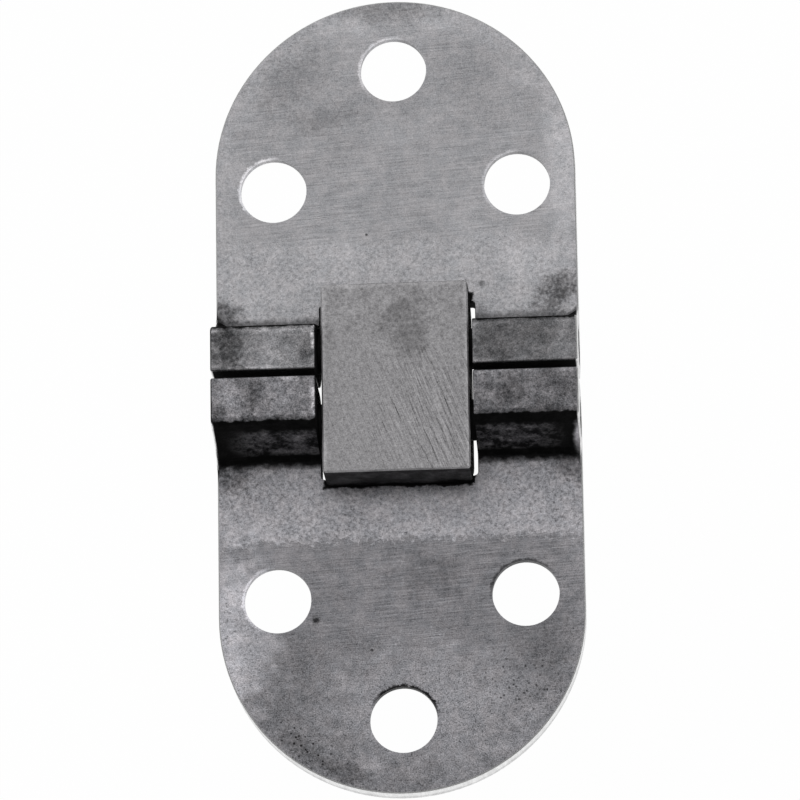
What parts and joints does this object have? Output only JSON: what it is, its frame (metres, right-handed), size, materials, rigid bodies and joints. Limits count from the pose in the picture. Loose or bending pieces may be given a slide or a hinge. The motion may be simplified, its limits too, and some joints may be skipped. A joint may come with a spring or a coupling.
{
  "type": "concealed flap hinge",
  "caption": "Double-pin concealed flap hinge: round-ended steel leaves joined by a link block, screwed flush into recesses so a flap folds flat over.",
  "frame": {"origin": "middle of the hinge on its front plane", "axes": "X along the pins, +Y towards the upper leaf's round end, +Z to the knuckle side"},
  "size_m": [0.03, 0.068, 0.0082],
  "materials": {
    "upper_leaf_steel": "raw steel, belt brushed",
    "lower_leaf_steel": "raw steel, belt brushed",
    "link_steel": "raw steel, ground",
    "pin_steel": "drawn steel wire"
  },
  "bodies": {
    "lower_leaf": {"lower_leaf": "lower_leaf_steel", "lower_pin": "pin_steel"},
    "link": {"link": "link_steel"},
    "upper_leaf": {"upper_leaf": "upper_leaf_steel", "upper_pin": "pin_steel"}
  },
  "joints": [
    {"name": "lower_pivot", "type": "hinge", "parent": "lower_leaf", "child": "link", "pos_m": [0, -0.00305, 0.00295], "axis": [-1, 0, 0], "range_deg": [0, 90]},
    {"name": "upper_pivot", "type": "hinge", "parent": "link", "child": "upper_leaf", "pos_m": [0, 0.00305, 0.00295], "axis": [-1, 0, 0], "range_deg": [0, 90]}
  ]
}
